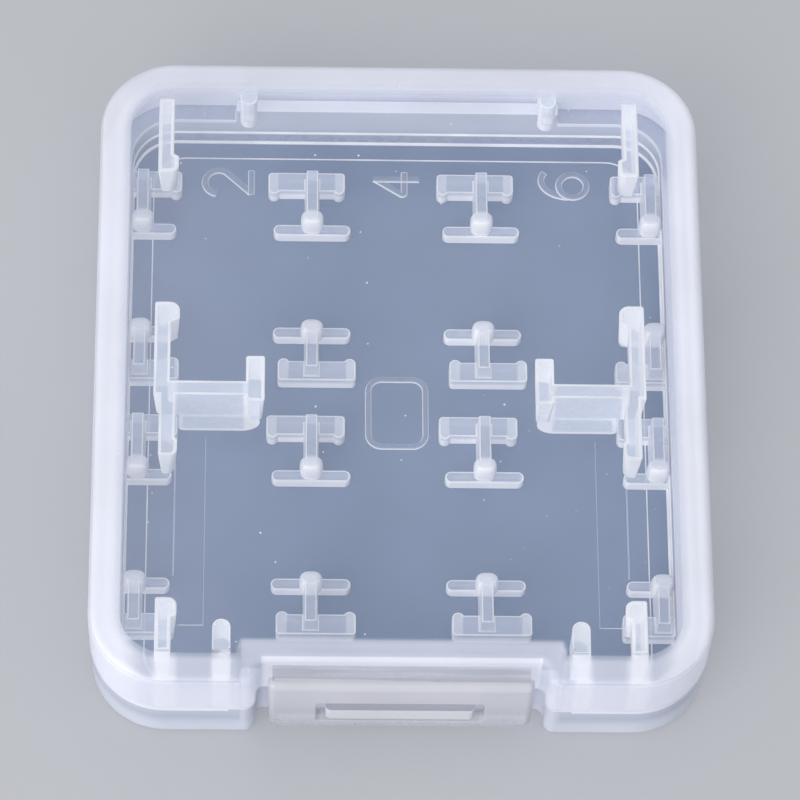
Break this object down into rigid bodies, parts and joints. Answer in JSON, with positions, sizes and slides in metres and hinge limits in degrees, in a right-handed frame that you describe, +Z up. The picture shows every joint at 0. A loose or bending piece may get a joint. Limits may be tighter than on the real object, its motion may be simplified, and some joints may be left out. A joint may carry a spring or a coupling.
{
  "type": "memory card case",
  "caption": "Flat clear plastic pocket case for memory cards, with a living-hinge lid, a snap latch flap, card posts on the tray floor and card clips under the lid.",
  "frame": {"origin": "middle of the underside of the closed case, on the surface it lies on", "axes": "+X to the right seen from the latch, +Y from the latch to the hinge, +Z up through the lid"},
  "size_m": [0.058, 0.0666, 0.012],
  "materials": {
    "tray_clear": "milky clear polypropylene, polished faces and frosted edges",
    "lid_clear": "milky clear polypropylene, polished panel and frosted walls",
    "moulded_posts": "milky clear polypropylene, frosted sides",
    "moulded_clips": "milky clear polypropylene, frosted sides",
    "latch_clear": "milky clear polypropylene, smooth",
    "hinge_film": "thin flexed polypropylene film"
  },
  "bodies": {
    "base": {"base_tray": "tray_clear", "catch_bar": "latch_clear", "back_hinge_strip": "hinge_film", "card_post_a1": "moulded_posts", "card_post_a2": "moulded_posts", "card_post_a3": "moulded_posts", "card_post_a4": "moulded_posts", "card_post_b1": "moulded_posts", "card_post_b2": "moulded_posts", "card_post_b3": "moulded_posts", "card_post_b4": "moulded_posts", "card_post_c1": "moulded_posts", "card_post_c2": "moulded_posts", "card_post_c3": "moulded_posts", "card_post_c4": "moulded_posts", "card_post_d1": "moulded_posts", "card_post_d2": "moulded_posts", "card_post_d3": "moulded_posts", "card_post_d4": "moulded_posts", "card_pad_a1": "moulded_posts", "card_pad_a2": "moulded_posts", "card_pad_a3": "moulded_posts", "card_pad_a4": "moulded_posts", "card_pad_b1": "moulded_posts", "card_pad_b2": "moulded_posts", "card_pad_b3": "moulded_posts", "card_pad_b4": "moulded_posts", "card_pad_c1": "moulded_posts", "card_pad_c2": "moulded_posts", "card_pad_c3": "moulded_posts", "card_pad_c4": "moulded_posts", "card_pad_d1": "moulded_posts", "card_pad_d2": "moulded_posts", "card_pad_d3": "moulded_posts", "card_pad_d4": "moulded_posts"},
    "lid": {"lid_shell": "lid_clear", "latch_hinge_strip": "hinge_film", "card_clip_left": "moulded_clips", "card_clip_right": "moulded_clips", "back_corner_bar_left": "moulded_clips", "back_corner_bar_right": "moulded_clips", "front_corner_bar_left": "moulded_clips", "front_corner_bar_right": "moulded_clips", "back_stop_peg_left": "moulded_clips", "back_stop_peg_right": "moulded_clips", "front_stop_peg_left": "moulded_clips", "front_stop_peg_right": "moulded_clips"},
    "latch": {"latch_flap": "latch_clear"}
  },
  "joints": [
    {"name": "lid_hinge", "type": "hinge", "parent": "base", "child": "lid", "pos_m": [0, 0.03283, 0.006], "axis": [-1, 0, 0], "range_deg": [0, 180], "deforming": ["back_hinge_strip"]},
    {"name": "latch_hinge", "type": "hinge", "parent": "lid", "child": "latch", "pos_m": [0, -0.0315, 0.01043], "axis": [-1, 0, 0], "range_deg": [0, 100], "deforming": ["latch_hinge_strip"]}
  ]
}
